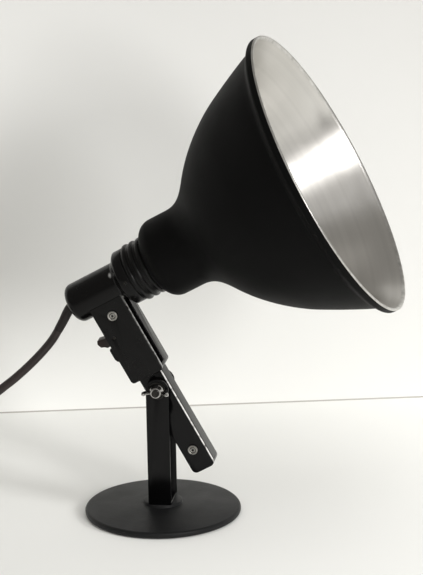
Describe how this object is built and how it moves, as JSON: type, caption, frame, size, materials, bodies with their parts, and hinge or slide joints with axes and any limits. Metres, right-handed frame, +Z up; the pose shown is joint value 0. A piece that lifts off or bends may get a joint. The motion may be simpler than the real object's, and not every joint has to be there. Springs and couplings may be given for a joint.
{
  "type": "desk lamp",
  "caption": "Desk lamp with a disc base, a channel post, a tilting grip handle with a switch lever, and a large spun bell reflector on a screw lampholder.",
  "frame": {"origin": "middle of the disc base, on the surface that it stands on", "axes": "+Z up, +X the way the reflector points, the tilt pivot lies along Y"},
  "size_m": [0.5465, 0.2386, 0.3885],
  "materials": {
    "base_paint": "semi-gloss dark grey-black paint over cast iron",
    "black_paint": "satin black paint over steel sheet",
    "black_moulding": "satin black moulded phenolic",
    "collar_moulding": "black moulded phenolic",
    "switch_moulding": "dark brown moulded phenolic",
    "inner_moulding": "grey-black moulding",
    "reflector_metal": "spun aluminium, satin inside, matte black paint outside",
    "bright_metal": "plated steel",
    "chrome_metal": "polished chrome plate, slightly worn",
    "brass_metal": "plain brass",
    "ceramic_white": "glazed white ceramic",
    "pad_rubber": "matte black rubber",
    "fibre": "red-brown vulcanised fibre",
    "cord_sheath": "dark brown rubber-sheathed flex, satin",
    "cord_rubber": "black rubber",
    "brown_sheath": "brown insulation",
    "blue_sheath": "blue insulation",
    "plug_moulding": "black moulded plastic",
    "bulb_glass": "frosted glass"
  },
  "bodies": {
    "stand": {"base_disc": "base_paint", "base_pad": "pad_rubber", "foot_boss": "base_paint", "foot_screw": "bright_metal", "foot_nut": "bright_metal", "post_channel": "black_paint", "pivot_bolt": "bright_metal", "pivot_washers": "fibre", "wing_washer": "chrome_metal", "cord_run": "cord_sheath", "cord_coil": "cord_sheath", "cord_tail": "cord_sheath", "cord_tie": "cord_rubber", "plug_body": "plug_moulding", "plug_pins": "bright_metal"},
    "wing_nut": {"wing_nut": "chrome_metal"},
    "head": {"arm_channel": "black_paint", "arm_rivet": "bright_metal", "arm_spacer": "bright_metal", "handle_housing": "black_moulding", "handle_cover": "black_moulding", "handle_rivet": "bright_metal", "switch_pin": "bright_metal", "switch_body": "inner_moulding", "switch_contacts": "brass_metal", "switch_plate": "black_moulding", "socket_barrel": "black_moulding", "cord_sleeve": "cord_rubber", "cord_clamp": "bright_metal", "clamp_screws": "bright_metal", "live_lead": "brown_sheath", "neutral_lead": "blue_sheath", "holder_core": "ceramic_white", "holder_shell": "brass_metal", "centre_contact": "brass_metal", "collar": "collar_moulding", "set_screw": "bright_metal", "shade_ring": "bright_metal", "reflector": "reflector_metal", "bulb_cap": "bright_metal", "bulb_glass": "bulb_glass", "bulb_stem": "bright_metal", "power_cord": "cord_sheath"},
    "switch_lever": {"switch_lever": "switch_moulding"}
  },
  "joints": [
    {"name": "arm_tilt", "type": "hinge", "parent": "stand", "child": "head", "pos_m": [0, 0, 0.1075], "axis": [0, 1, 0], "range_deg": [-55, 18]},
    {"name": "wing_nut_turn", "type": "hinge", "parent": "stand", "child": "wing_nut", "pos_m": [0, 0, 0.1075], "axis": [0, 1, 0], "continuous": true},
    {"name": "switch_lever_tilt", "type": "hinge", "parent": "head", "child": "switch_lever", "pos_m": [-0.03359, 0, 0.14951], "axis": [0, 1, 0], "range_deg": [0, 16]}
  ]
}
